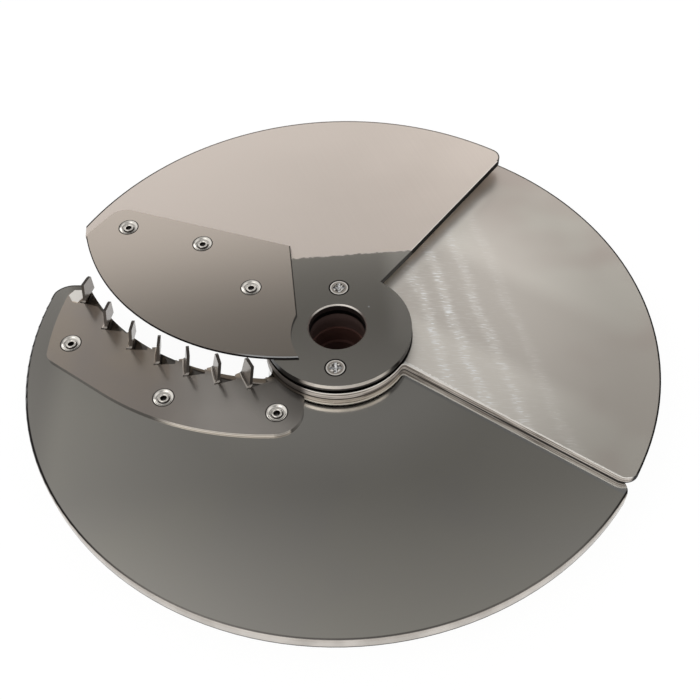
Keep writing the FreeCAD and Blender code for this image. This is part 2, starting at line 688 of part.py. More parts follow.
# Hub screws: countersunk heads with a cross recess
def hub_screw(number, x, y):
    head = size("screw_head_radius")
    shank = size("screw_radius")
    length = size("screw_length")
    azimuth = size("screw_azimuth") + 180 * (number - 1)
    where = Placement(Vector(*polar(size("screw_circle_radius"), azimuth), height_of(TOP_FACE)), Rotation())
    blank = turned(f"screw_blank_{number}", [(0, 0), (head, 0), (shank, shank - head), (shank, -length),
                                             (0, -length)], where)
    slots = []
    for name, length_rule, width_rule in (("long", "sizes.recess_length", "sizes.recess_width"),
                                          ("cross", "sizes.recess_width", "sizes.recess_length")):
        slot = doc.addObject("Part::Box", f"recess_{name}_{number}")
        slot.setExpression("Length", length_rule)
        slot.setExpression("Width", width_rule)
        slot.setExpression("Height", "2 * sizes.recess_depth")
        place(slot, f"{x} - {length_rule} / 2", f"{y} - {width_rule} / 2",
              f"{TOP_FACE} - sizes.recess_depth")
        slots.append(slot)
    return cut(f"hub_screw_{number}", blank, *slots)


hub_screws = [hub_screw(number, x, y) for number, (x, y) in enumerate(screw_places, start=1)]

# The pieces, each written under its own name
PIECES = [top_plate, middle_plate, bottom_plate, plate_spacer]
PIECES += [slicing_blade, comb_plate, hub_boss, drive_bush]
PIECES += hub_screws + blade_rivets + comb_rivets

doc.recompute()
for thing in doc.Objects:
    if "Invalid" in thing.State or "Error" in thing.State:
        raise RuntimeError(f"{thing.Name} failed: {thing.State}")
for piece in PIECES:
    piece.Label = piece.Name
    if piece.Shape.isNull() or not piece.Shape.isValid() or len(piece.Shape.Solids) != 1:
        raise RuntimeError(f"{piece.Name} is not one sound solid")

os.makedirs("parts", exist_ok=True)
for piece in PIECES:
    piece.Shape.exportStep(f"parts/{piece.Label}.step")
    print(piece.Label, round(piece.Shape.Volume, 1))
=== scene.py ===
import math

import bpy
from mathutils import Matrix, Vector


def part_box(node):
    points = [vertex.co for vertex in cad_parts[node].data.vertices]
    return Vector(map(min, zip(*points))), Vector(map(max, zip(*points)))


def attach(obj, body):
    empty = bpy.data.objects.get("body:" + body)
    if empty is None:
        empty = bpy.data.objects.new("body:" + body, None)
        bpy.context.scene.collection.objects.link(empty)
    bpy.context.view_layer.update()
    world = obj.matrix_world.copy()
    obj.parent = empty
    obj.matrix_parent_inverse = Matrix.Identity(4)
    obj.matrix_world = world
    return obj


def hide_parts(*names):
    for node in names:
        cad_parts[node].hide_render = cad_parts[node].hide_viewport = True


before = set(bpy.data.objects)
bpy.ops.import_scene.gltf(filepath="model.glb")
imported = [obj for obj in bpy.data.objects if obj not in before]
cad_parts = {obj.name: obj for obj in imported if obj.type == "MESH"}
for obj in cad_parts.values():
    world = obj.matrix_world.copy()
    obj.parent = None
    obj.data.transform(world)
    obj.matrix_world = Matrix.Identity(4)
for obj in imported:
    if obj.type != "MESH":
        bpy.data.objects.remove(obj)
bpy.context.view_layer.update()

# Looks of the stainless cutting disc: polished, satin and hand-ground sheet, nickel plated
# fasteners and a dark moulded bush, on a white studio floor. Metres; the frame's origin is on the
# drive bore's axis at the hub's lower face. Patterns are laid out in plan, in millimetres and
# degrees from +X, on the same lines and circles as the solids.

# Much of the light and shade is painted into the colours: walls painted lit or in shade, painted
# shadow lines and outlines, painted highlights and glints, and painted reflections of the room on
# the faces.
MM = 0.001

# Round the axis
RIM_RADIUS = -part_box("bottom_plate")[0][1] / MM
NECK_RADIUS = 24.2
BOSS_RADIUS = 24.0
BORE_RADIUS = 9.3

# Straight edges and folds of the plates: the azimuth that a line runs to, and how far it passes
# left of the axis
CREASE_AZIMUTH, CREASE_OFFSET, CREASE_ANGLE = 1.9, 32.0, 2.5
LAP_AZIMUTH, LAP_OFFSET = 50.0, 0.5
STEP_AZIMUTH, STEP_OFFSET = -37.5, 2.1
END_AZIMUTH, END_OFFSET = -3.5, 25.0
ROOT_AZIMUTH, ROOT_OFFSET = -86.2, -12.6

# Arcs: a centre, a radius and, for a corner, the azimuth at which it runs into the rim
LAP_CORNER, LAP_CORNER_RADIUS, LAP_CORNER_AZIMUTH = (59.1, 78.2), 4.5, 52.9
END_CORNER, END_CORNER_RADIUS, END_CORNER_AZIMUTH = (-92.1, 23.2), 7.5, 165.9
THROAT_CENTRE, THROAT_RADIUS = (-15.6, 63.2), 78.3
BLADE_CENTRE, BLADE_EDGE_RADIUS = (-12.67, 64.23), 77.2
BLADE_LEAN = 1.0
COMB_FACE = 17.0
GLINT = (10.7, 7.9)

# Directions in plan that a wall faces where light is painted on it
FRONT_LEFT = (-0.25, -0.97, 0.0)
FRONT = (0.0, -1.0, 0.0)
HUB_FRONT = (0.09, -0.996, 0.0)
HUB_RIGHT = (0.233, -0.972, 0.0)
STEP_SIDE = (-0.5, -0.866, 0.0)

# Painted light and shade: lit and shaded walls, the painted shadow line at a seam, painted shadow
# outlines, and the comb's cut edges painted in shade
SHADED_EDGE = "#1C1A19"
LIT_EDGE = "#F2ECE5"
SEAM_SHADOW = "#2E2A27"
OUTLINE_SHADOW = "#4A4541"
CUT_EDGE_SHADE = "#3A3633"
HUB_WALL_SHADE = "#7A736D"
BORE_WALL_SHADE = "#5E4B46"
WHITE = "#FFFFFF"

# Kinds and settings of node that most patterns share
MATH = "ShaderNodeMath"
VECTOR = "ShaderNodeVectorMath"
SEPARATE = "ShaderNodeSeparateXYZ"
RANGE = "ShaderNodeMapRange"
MIX = "ShaderNodeMix"
SMOOTH = {"interpolation_type": "SMOOTHSTEP"}
COLOUR = {"data_type": "RGBA"}


def linear(code):
    """An sRGB hex colour as linear RGBA."""
    channels = [int(code[start:start + 2], 16) / 255 for start in (1, 3, 5)]
    return [c / 12.92 if c <= 0.04045 else ((c + 0.055) / 1.055) ** 2.4 for c in channels] + [1.0]


def feed(tree, node, inputs):
    """Give a node its inputs: numbers, vectors, hex colours, sockets, or nodes by first output."""
    for socket, value in inputs.items():
        if isinstance(value, bpy.types.Node):
            value = next(output for output in value.outputs if output.enabled)
        if isinstance(value, bpy.types.NodeSocket):
            tree.links.new(value, node.inputs[socket])
        else:
            node.inputs[socket].default_value = linear(value) if isinstance(value, str) else value


def add(tree, kind, inputs=None, **settings):
    """Add a node with its settings and links."""
    node = tree.nodes.new(kind)
    for name, value in settings.items():
        setattr(node, name, value)
    feed(tree, node, inputs or {})
    return node


def coat(tree, under, over, value, low, high, least=0.0, most=1.0):
    """One colour that gives way smoothly to another while value goes from low to high."""
    cover = add(tree, RANGE, {0: value, 1: low, 2: high, 3: least, 4: most}, **SMOOTH)
    return add(tree, MIX, {0: cover, 6: under, 7: over}, **COLOUR)


def place_of(tree):
    """Object coordinates, in millimetres."""
    place = add(tree, "ShaderNodeTexCoord").outputs["Object"]
    return add(tree, VECTOR, {0: place, 1: (1 / MM,) * 3}, operation="MULTIPLY")


def beside_line(tree, place, azimuth, offset):
    """Distance to the left of a straight line in plan."""
    turn = math.radians(azimuth)
    across = add(tree, VECTOR, {0: place, 1: (-math.sin(turn), math.cos(turn), 0)},
                 operation="DOT_PRODUCT")
    return add(tree, MATH, {0: across, 1: offset}, operation="SUBTRACT")


def from_axis(tree, place):
    """Distance from the disc's axis in plan."""
    flat = add(tree, VECTOR, {0: place, 1: (1, 1, 0)}, operation="MULTIPLY")
    return add(tree, VECTOR, {0: flat}, operation="LENGTH")


def from_point(tree, place, centre):
    """Distance from a plan point."""
    return from_axis(tree, add(tree, VECTOR, {0: place, 1: (*centre, 0)}, operation="SUBTRACT"))


def stretched_noise(tree, place, size_mm, detail=2.0, turn=0.0):
    """Noise whose grains have the given sizes along X, Y and Z, turned about Z."""
    turned = add(tree, "ShaderNodeVectorRotate",
                 {"Vector": place, "Angle": math.radians(-turn)}, rotation_type="Z_AXIS")
    scaled = add(tree, VECTOR, {0: turned, 1: tuple(1 / size for size in size_mm)},
                 operation="MULTIPLY")
    return add(tree, "ShaderNodeTexNoise", {"Vector": scaled, "Scale": 1.0, "Detail": detail})


def turned_to(tree, normal, direction):
    """How squarely a wall faces a plan direction, or the opposite one."""
    facing = add(tree, VECTOR, {0: normal, 1: direction}, operation="DOT_PRODUCT")
    return add(tree, MATH, {0: facing}, operation="ABSOLUTE")


def inside_edge(tree, distance, width=0.3):
    """1 within a width of an edge, 0 farther inside; distance is counted inwards."""
    return add(tree, RANGE, {0: distance, 1: width, 2: width + 0.35, 3: 1.0, 4: 0.0}, **SMOOTH)


def rounded_corner(tree, place, centre, radius, span):
    """1 along a plate's rounded corner, whose arc runs counterclockwise over a span of azimuths."""
    inwards = add(tree, MATH, {0: radius, 1: from_point(tree, place, centre)},
                  operation="SUBTRACT")
    arc = inside_edge(tree, inwards)
    for azimuth, past in zip(span, ("GREATER_THAN", "LESS_THAN")):
        turn = math.radians(azimuth)
        offset = centre[1] * math.cos(turn) - centre[0] * math.sin(turn)
        within = add(tree, MATH, {0: beside_line(tree, place, azimuth, offset), 1: 0.0},
                     operation=past)
        arc = add(tree, MATH, {0: arc, 1: within}, operation="MULTIPLY")
    return arc


def painted_lit_wall(tree, place, dull, bright):
    """Painted light of a sheared wall turned to the window: brighter and duller in patches of
    several millimetres.
    """
    patches = stretched_noise(tree, place, (7.0, 7.0, 12.0))
    return coat(tree, dull, bright, patches, 0.3, 0.7)


def bare_finish(name, colour, roughness, metallic=1.0):
    """A material in one bare tone, which a pattern may take over, with its tree and shader."""
    material = bpy.data.materials.new(name)
    material.use_nodes = True
    tree = material.node_tree
    shader = tree.nodes["Principled BSDF"]
    feed(tree, shader, {"Metallic": metallic, "Roughness": roughness, "Base Color": colour})
    return material, tree, shader


def underside_of(name):
    """Height of a plate's lower face in millimetres."""
    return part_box(name)[0][2] / MM


def sheared_edges(tree, shader, place, face, roughness, lit, seam, rim_line, window,
                  hub_window=(HUB_RIGHT, 0.7, 0.8), hub_shade=HUB_WALL_SHADE,
                  bore=BORE_WALL_SHADE, seam_rise=0.0):
    """Finish of a sheet's edges round its face.

    Walls turned to the window's side, or straight away from it, are painted in the lit colour above
    a painted shadow line at the seam, whose height may rise outwards; the hub's own walls have a
    painted window of their own. The others are painted dark as the shade of the room, as are the
    bore and the rounding of the rim. rim_line is the width of the painted dark line that the
    rounding shows from above.
    """
    normal = add(tree, "ShaderNodeNewGeometry").outputs["Normal"]
    facing = add(tree, SEPARATE, {0: normal}).outputs
    spot = add(tree, SEPARATE, {0: place}).outputs
    radius = from_axis(tree, place)
    up = add(tree, MATH, {0: facing["Z"]}, operation="ABSOLUTE")

    # Which walls are lit
    beyond_neck = add(tree, RANGE, {0: radius, 1: NECK_RADIUS + 0.3, 2: NECK_RADIUS + 0.8},
                      **SMOOTH)
    outer, at_hub = (add(tree, RANGE, {0: turned_to(tree, normal, side), 1: low, 2: high}, **SMOOTH)
                     for side, low, high in (window, hub_window))
    frontal = add(tree, MIX, {0: beyond_neck, 2: at_hub, 3: outer})

    # Colour of the walls: painted light above a painted shadow line at the seam, painted shade
    # elsewhere
    level = add(tree, MATH, {0: radius, 1: -seam_rise, 2: spot["Z"]}, operation="MULTIPLY_ADD")
    above_seam = add(tree, RANGE, {0: level, 1: seam, 2: seam + 0.25}, **SMOOTH)
    lit = add(tree, MIX, {0: above_seam, 6: SEAM_SHADOW, 7: lit}, **COLOUR)
    within_neck = add(tree, MATH, {0: 1.0, 1: beyond_neck}, operation="SUBTRACT")
    hub_wall = add(tree, MATH, {0: above_seam, 1: within_neck}, operation="MULTIPLY")
    shaded = add(tree, MIX, {0: hub_wall, 6: SHADED_EDGE, 7: hub_shade}, **COLOUR)
    wall = add(tree, MIX, {0: frontal, 6: shaded, 7: lit}, **COLOUR)
    wall = coat(tree, bore, wall, radius, BORE_RADIUS + 0.6, BORE_RADIUS + 1.0)

    # Colour of the roundings: painted shade at the sides, paler at the front and the back, and a
    # painted highlight on the far side of the bore's mouth
    ahead = add(tree, MATH, {0: spot["Y"], 1: radius}, operation="DIVIDE")
    rounded = coat(tree, "#6B6763", SHADED_EDGE, ahead, -0.9, -0.6)
    rounded = coat(tree, rounded, "#7B736C", ahead, 0.6, 0.95)
    mouth = coat(tree, "#D3CCC4", "#5A4F49", facing["Y"], -0.6, -0.3)
    turning = coat(tree, wall, rounded, up, 0.8, 0.9)
    rounding = coat(tree, mouth, turning, radius, BORE_RADIUS + 2.0, BORE_RADIUS + 3.0)
    edge = coat(tree, wall, rounding, up, 0.3, 0.4)

    # Level faces keep their own finish; walls are rougher, and dull where they are lit
    rim = RIM_RADIUS - rim_line
    outlined = coat(tree, face, rounded, radius, rim, rim + 0.3)
    level_face = add(tree, RANGE, {0: up, 1: 0.93, 2: 0.985}, **SMOOTH)
    rough_wall = add(tree, MATH, {0: 1.0, 1: level_face}, operation="SUBTRACT")
    in_bore = add(tree, RANGE, {0: radius, 1: BORE_RADIUS + 0.6, 2: BORE_RADIUS + 1.0,
                                3: 1.0, 4: 0.0}, **SMOOTH)
    lit_wall = add(tree, MATH, {0: frontal, 1: in_bore}, operation="MAXIMUM")
    dull = add(tree, MATH, {0: rough_wall, 1: lit_wall}, operation="MULTIPLY")
    feed(tree, shader, {
        "Base Color": add(tree, MIX, {0: level_face, 6: edge, 7: outlined}, **COLOUR),
        "Roughness": add(tree, MATH, {0: rough_wall, 1: 0.25, 2: roughness},
                         operation="MULTIPLY_ADD"),
        "Metallic": add(tree, MATH, {0: dull, 1: -0.6, 2: 1.0}, operation="MULTIPLY_ADD"),
    })


def buffed_sheet():
    """Bright-rolled bottom sheet, buffed: mirrors its neighbours with a faint haze and no grain.

    It is paler round the hub and greyer at its far left end, painted reflections of the room;
    painted dark beside the throat, where the comb shades it; and outlined round its bare end with a
    painted shadow line.
    """
    material, tree, shader = bare_finish("buffed_stainless", "#C9C5BD", 0.1)
    place = place_of(tree)
    radius = from_axis(tree, place)
    along = add(tree, SEPARATE, {0: place}).outputs["X"]
    cloud = stretched_noise(tree, place, (40.0,) * 3, detail=3.0)
    face = coat(tree, "#C9C5BD", "#CBC7BC", cloud, 0.4, 0.6, most=0.5)
    # Painted reflections: paler round the hub, greyer at the far left end
    face = coat(tree, "#DCD8D0", face, radius, 32.0, 60.0)
    step_side = beside_line(tree, place, STEP_AZIMUTH, STEP_OFFSET)
    face = coat(tree, face, "#C3C2BF", step_side, -3.4, -2.4)
    from_throat = add(tree, MATH, {0: from_point(tree, place, THROAT_CENTRE), 1: THROAT_RADIUS},
                      operation="SUBTRACT")
    face = coat(tree, "#827D77", face, from_throat, 5.0, 8.5)
    face = coat(tree, "#B4B0A9", face, along, -97.0, -86.0)

    end = add(tree, MATH, {0: beside_line(tree, place, END_AZIMUTH, END_OFFSET), 1: -1.0},
              operation="MULTIPLY")
    corner = rounded_corner(tree, place, END_CORNER, END_CORNER_RADIUS,
                            (END_AZIMUTH + 90.0, END_CORNER_AZIMUTH))
    outline = add(tree, MATH, {0: corner, 1: inside_edge(tree, end)}, operation="MAXIMUM")
    # Painted shadow outline round the bare end
    face = add(tree, MIX, {0: outline, 6: face, 7: "#3A3633"}, **COLOUR)

    haze = add(tree, RANGE, {0: cloud, 1: 0.3, 2: 0.7, 3: 0.085, 4: 0.115}, **SMOOTH)
    # Walls painted lit, paler towards the hub
    lit = painted_lit_wall(tree, place, "#B8B1A9", "#D0C9C1")
    lit = coat(tree, LIT_EDGE, lit, radius, 30.0, 60.0)
    sheared_edges(tree, shader, place, face, haze, lit, seam=underside_of("bottom_plate") + 0.45,
                  rim_line=1.05, window=(FRONT, 0.3, 0.55))
    return material


def comb_sheet():
    """Comb steel: satin plate; teeth mid grey on their broad faces, their narrow cut faces painted
    dark as shade.

    Where it faces front its wall is painted pale as lit, with a dark line halfway down; elsewhere
    it is painted dark as shade.
    """
    material, tree, shader = bare_finish("comb_stainless", "#C0B6AE", 0.2)
    place = place_of(tree)
    normal = add(tree, "ShaderNodeNewGeometry").outputs["Normal"]
    facing = add(tree, SEPARATE, {0: normal}).outputs
    spot = add(tree, SEPARATE, {0: place}).outputs
    cloud = stretched_noise(tree, place, (25.0,) * 3, detail=3.0)
    sheet = coat(tree, "#C5BBB3", "#BFB3A6", cloud, 0.3, 0.7)
    sheet = coat(tree, sheet, "#DBD4CC", spot["X"], -62.0, -40.0)
    sheet = coat(tree, "#A9A39C", sheet, from_axis(tree, place), 30.0, 42.0)

    # Walls facing the front painted pale as lit with a dark line halfway down, the others painted
    # dark as shade; teeth painted dark on their narrow faces as shade
    halfway = add(tree, MATH, {0: spot["Z"], 1: COMB_FACE - 0.5}, operation="SUBTRACT")
    off_middle = add(tree, MATH, {0: halfway}, operation="ABSOLUTE")
    cut = coat(tree, "#6E6760", "#E0D9D1", off_middle, 0.05, 0.2)
    cut = coat(tree, CUT_EDGE_SHADE, cut, turned_to(tree, normal, HUB_FRONT), 0.86, 0.91)
    up, aside = (add(tree, MATH, {0: facing[axis]}, operation="ABSOLUTE") for axis in "ZX")
    level = add(tree, RANGE, {0: up, 1: 0.6, 2: 0.9}, **SMOOTH)
    flat = add(tree, MIX, {0: level, 6: cut, 7: sheet}, **COLOUR)
    tooth = coat(tree, CUT_EDGE_SHADE, "#857E77", aside, 0.5, 0.7)
    feed(tree, shader, {
        "Base Color": coat(tree, flat, tooth, spot["Z"], COMB_FACE + 0.2, COMB_FACE + 1.2),
        "Roughness": add(tree, RANGE, {0: cloud, 1: 0.3, 2: 0.7, 3: 0.17, 4: 0.23}, **SMOOTH),
        "Metallic": add(tree, RANGE, {0: level, 1: 0.0, 2: 1.0, 3: 0.4, 4: 1.0}, **SMOOTH),
    })
    return material


def blade_sheet():
    """Blade steel, buffed and warm: a slow gradient painted as reflection, and painted shadow lines
    along the cutting edge and the root.

    Over the hub the ground edge has a painted highlight beside the dark line. Being sprung between
    its rivets, the blade shines as one plane, its ground edge along with it.
    """
    material, tree, shader = bare_finish("blade_stainless", "#C3B8AD", 0.17)
    place = place_of(tree)
    spot = add(tree, SEPARATE, {0: place}).outputs
    normal = add(tree, "ShaderNodeNewGeometry").outputs["Normal"]
    height = add(tree, SEPARATE, {0: normal}).outputs["Z"]
    up = add(tree, MATH, {0: height}, operation="ABSOLUTE")
    from_centre = from_point(tree, place, BLADE_CENTRE)
    face = coat(tree, "#B9AFA4", "#C4B9AE", spot["Y"], 0.0, 45.0)
    ground = add(tree, RANGE, {0: from_centre, 1: BLADE_EDGE_RADIUS - 0.85,
                               2: BLADE_EDGE_RADIUS - 0.7}, **SMOOTH)
    # Painted highlight along the ground edge over the hub, painted shadow lines along the root and
    # the cutting edge
    over_hub = add(tree, RANGE, {0: spot["X"], 1: -34.0, 2: -27.0}, **SMOOTH)
    bevel_highlight = add(tree, MATH, {0: ground, 1: over_hub}, operation="MULTIPLY")
    face = add(tree, MIX, {0: bevel_highlight, 6: face, 7: WHITE}, **COLOUR)
    root = add(tree, MATH, {0: beside_line(tree, place, ROOT_AZIMUTH, ROOT_OFFSET), 1: -1.0},
               operation="MULTIPLY")
    face = add(tree, MIX, {0: inside_edge(tree, root, 0.2), 6: face, 7: OUTLINE_SHADOW}, **COLOUR)
    face = coat(tree, face, SHADED_EDGE, from_centre, BLADE_EDGE_RADIUS - 0.45,
                BLADE_EDGE_RADIUS - 0.3)

    lean = math.radians(BLADE_LEAN)
    plane = (0, math.sin(lean), math.cos(lean))
    level = add(tree, RANGE, {0: height, 1: 0.8, 2: 0.85}, **SMOOTH)
    # Walls painted dark as shade
    feed(tree, shader, {
        "Base Color": coat(tree, SHADED_EDGE, face, up, 0.3, 0.8),
        "Normal": add(tree, MIX, {0: level, 4: normal, 5: plane}, data_type="VECTOR"),
    })
    return material


def winged_sheet():
    """Top sheet: polished round the hub, satin-ground on the raised wing; the wing's paler tone and
    the hub's tones are painted reflections of the room.

    The satin grain is drawn 0.6 mm wide, coarser than real, so that it shows.
    """
    material, tree, shader = bare_finish("satin_and_polished_stainless", "#C6C0B8", 0.14)
    place = place_of(tree)
    spot = add(tree, SEPARATE, {0: place}).outputs

    # The grinding stops at the crease along a slightly ragged line
    burr = add(tree, MATH, {0: stretched_noise(tree, place, (2.5,) * 3), 1: 0.5},
               operation="SUBTRACT")
    beyond = beside_line(tree, place, CREASE_AZIMUTH, CREASE_OFFSET)
    ragged = add(tree, MATH, {0: burr, 1: 1.4, 2: beyond}, operation="MULTIPLY_ADD")
    wing = add(tree, RANGE, {0: ragged, 1: -0.4, 2: 0.4}, **SMOOTH)

    cloud = stretched_noise(tree, place, (45.0, 25.0, 30.0))
    grain = stretched_noise(tree, place, (0.6, 30.0, 30.0), detail=3.0, turn=20.0)
    satin = coat(tree, "#D9CDC3", "#DFD3C9", cloud, 0.3, 0.7)
    satin = coat(tree, satin, "#A0958B", grain, 0.3, 0.7, most=0.04)
    # Painted reflection: the satin is paler towards the left
    satin = coat(tree, "#EDE1D7", satin, spot["X"], -70.0, 70.0)

    # Painted reflections on the polished hub: paler at the front, darker at the back, paler at the
    # right
    hub = coat(tree, "#CDC8BF", "#B6B1A8", spot["Y"], -24.0, 5.0)
    outwards = add(tree, RANGE, {0: spot["X"], 1: 14.0, 2: 22.0}, **SMOOTH)
    onwards = add(tree, RANGE, {0: spot["Y"], 1: -14.0, 2: -4.0}, **SMOOTH)
    at_right = add(tree, MATH, {0: outwards, 1: onwards}, operation="MULTIPLY")
    hub = add(tree, MIX, {0: at_right, 6: hub, 7: "#D0CBC2"}, **COLOUR)
    face = add(tree, MIX, {0: wing, 6: hub, 7: satin}, **COLOUR)

    # A painted highlight runs along the wing's lap edge, the hub has one painted glint, and the lap
    # corner has a painted shadow outline
    past_neck = add(tree, RANGE, {0: from_axis(tree, place), 1: NECK_RADIUS,
                                  2: NECK_RADIUS + 2.0}, **SMOOTH)
    lap_side = beside_line(tree, place, LAP_AZIMUTH, LAP_OFFSET)
    lap_edge_band = add(tree, RANGE, {0: lap_side, 1: 0.15, 2: 0.4, 3: 1.0, 4: 0.0}, **SMOOTH)
    edge_highlight = add(tree, MATH, {0: past_neck, 1: lap_edge_band}, operation="MULTIPLY")
    edge_highlight = add(tree, MATH, {0: wing, 1: edge_highlight}, operation="MULTIPLY")
    face = add(tree, MIX, {0: edge_highlight, 6: face, 7: "#F8EFE7"}, **COLOUR)
    face = coat(tree, face, WHITE, from_point(tree, place, GLINT), 0.15, 0.4, 1.0, 0.0)
    corner = rounded_corner(tree, place, LAP_CORNER, LAP_CORNER_RADIUS,
                            (LAP_AZIMUTH - 90.0, LAP_CORNER_AZIMUTH))
    face = add(tree, MIX, {0: corner, 6: face, 7: OUTLINE_SHADOW}, **COLOUR)

    roughness = add(tree, RANGE, {0: wing, 1: 0.0, 2: 1.0, 3: 0.14, 4: 0.42}, **SMOOTH)
    sheared_edges(tree, shader, place, face, roughness,
                  lit=painted_lit_wall(tree, place, "#D6CFC7", LIT_EDGE),
                  seam=underside_of("top_plate") + 0.75, rim_line=0.65,
                  window=(FRONT_LEFT, 0.5, 0.85), hub_window=(HUB_FRONT, 0.78, 0.9),
                  hub_shade=SHADED_EDGE, bore="#2B2321")
    return material


GRINDING_AZIMUTH = -80.0
GRINDING_PASSES = (30.3, 38.4, 48.2, 58.5)
PASS_HALF_WIDTH = 3.4
STROKE_AZIMUTH = -7.0


def ground_sheet():
    """Hand-ground middle sheet: side-by-side passes of short strokes, brightest near the hub.

    A stroke is half a millimetre wide and a painted glint a third, as coarse as they need to be to
    show.
    """
    material, tree, shader = bare_finish("hand_ground_stainless", "#C2BCB3", 0.42)
    place = place_of(tree)
    radius = from_axis(tree, place)
    across = beside_line(tree, place, GRINDING_AZIMUTH, 0.0)
    lap_side = beside_line(tree, place, LAP_AZIMUTH, LAP_OFFSET)
    step_side = beside_line(tree, place, STEP_AZIMUTH, STEP_OFFSET)

    # The passes wander, and their strokes end raggedly; painted glints gather on their crests
    curved = across
    lines = []
    for size_mm, reach in (((22.0,) * 3, 5.0), ((5.0, 0.5, 5.0), 7.0)):
        turn = STROKE_AZIMUTH if lines else 0.0
        stray = add(tree, MATH, {0: stretched_noise(tree, place, size_mm, turn=turn), 1: 0.5},
                    operation="SUBTRACT")
        curved = add(tree, MATH, {0: stray, 1: reach, 2: curved}, operation="MULTIPLY_ADD")
        lines.append(curved)
    curved, ragged = lines
    passes = crests = 0.0
    for line in GRINDING_PASSES:
        from_crest, from_pass = (
            add(tree, MATH, {0: add(tree, MATH, {0: path, 1: line}, operation="SUBTRACT")},
                operation="ABSOLUTE") for path in (curved, ragged))
        stroke = add(tree, RANGE, {0: from_pass, 1: 0.0, 2: PASS_HALF_WIDTH, 3: 1.0, 4: 0.0},
                     **SMOOTH)
        passes = add(tree, MATH, {0: passes, 1: stroke}, operation="MAXIMUM")
        crest = add(tree, RANGE, {0: from_crest, 1: 0.6, 2: 2.4, 3: 1.0, 4: 0.15}, **SMOOTH)
        crests = add(tree, MATH, {0: crests, 1: crest}, operation="MAXIMUM")

    # The plain face is pale near the hub, painted light where the grinding catches it most, and
    # less ground between the two edges
    cloud = stretched_noise(tree, place, (38.0,) * 3)
    outer = coat(tree, "#B0A69E", "#BAB5AC", cloud, 0.4, 0.6)
    face = coat(tree, "#E0DAD1", outer, radius, 50.0, 95.0)
    past_step = add(tree, RANGE, {0: step_side, 1: 14.0, 2: 23.0, 3: 0.0, 4: 0.42}, **SMOOTH)
    before_lap = add(tree, RANGE, {0: step_side, 1: 46.0, 2: 57.0, 3: 1.0, 4: 0.0}, **SMOOTH)
    less_ground = add(tree, MATH, {0: past_step, 1: before_lap}, operation="MULTIPLY")
    face = add(tree, MIX, {0: less_ground, 6: face, 7: "#AEA59D"}, **COLOUR)

    reach = add(tree, RANGE, {0: across, 1: 36.0, 2: 64.0, 3: 1.0, 4: 0.2}, **SMOOTH)
    strokes = add(tree, MATH, {0: passes, 1: reach}, operation="MULTIPLY")
    strokes = add(tree, MATH, {0: strokes, 1: 0.33}, operation="MULTIPLY")
    face = add(tree, MIX, {0: strokes, 6: face, 7: "#F7F3EC"}, **COLOUR)
    sparkle_noise = stretched_noise(tree, place, (3.2, 0.35, 3.0), detail=1.0, turn=STROKE_AZIMUTH)
    sparkle = add(tree, RANGE, {0: sparkle_noise, 1: 0.57, 2: 0.64}, **SMOOTH)
    sparkle_reach = add(tree, RANGE, {0: across, 1: 35.0, 2: 66.0, 3: 1.0, 4: 0.0}, **SMOOTH)
    for share in (sparkle_reach, crests, 0.9):
        sparkle = add(tree, MATH, {0: sparkle, 1: share}, operation="MULTIPLY")
    face = add(tree, MIX, {0: sparkle, 6: face, 7: WHITE}, **COLOUR)

    # Painted light off the lap's wall, a ragged burr along the step painted bright as a highlight,
    # and the ledge at the hub painted dark as shade under the top plate
    near_lap = add(tree, RANGE, {0: lap_side, 1: -7.0, 2: -1.5}, **SMOOTH)
    before_rim = add(tree, RANGE, {0: radius, 1: 78.0, 2: 92.0, 3: 0.5, 4: 0.0}, **SMOOTH)
    lap_glow = add(tree, MATH, {0: near_lap, 1: before_rim}, operation="MULTIPLY")
    face = add(tree, MIX, {0: lap_glow, 6: face, 7: "#FFFAF2"}, **COLOUR)
    burr_width = add(tree, RANGE, {0: radius, 1: 25.0, 2: 70.0, 3: 1.6, 4: 0.4}, **SMOOTH)
    burr = add(tree, MATH, {0: stretched_noise(tree, place, (1.2,) * 3), 1: burr_width},
               operation="MULTIPLY")
    edge_highlight = add(tree, MATH, {0: step_side, 1: burr}, operation="LESS_THAN")
    face = add(tree, MIX, {0: edge_highlight, 6: face, 7: "#FDF9F3"}, **COLOUR)
    face = coat(tree, "#1E1C1B", face, radius, NECK_RADIUS + 0.1, NECK_RADIUS + 0.5)

    # The wall's painted light is streaked, with a painted highlight line along its top
    underside = underside_of("middle_plate")
    height = add(tree, SEPARATE, {0: place}).outputs["Z"]
    streaks = stretched_noise(tree, place, (16.0, 16.0, 0.5))
    lit = coat(tree, "#857C74", "#D8D0C8", streaks, 0.45, 0.55)
    lit = coat(tree, lit, "#FBF7F1", height, underside + 2.3, underside + 2.6)
    sheared_edges(tree, shader, place, face, 0.42, lit, seam=underside, seam_rise=0.0045,
                  rim_line=0.65, window=(STEP_SIDE, 0.55, 0.8))
    return material


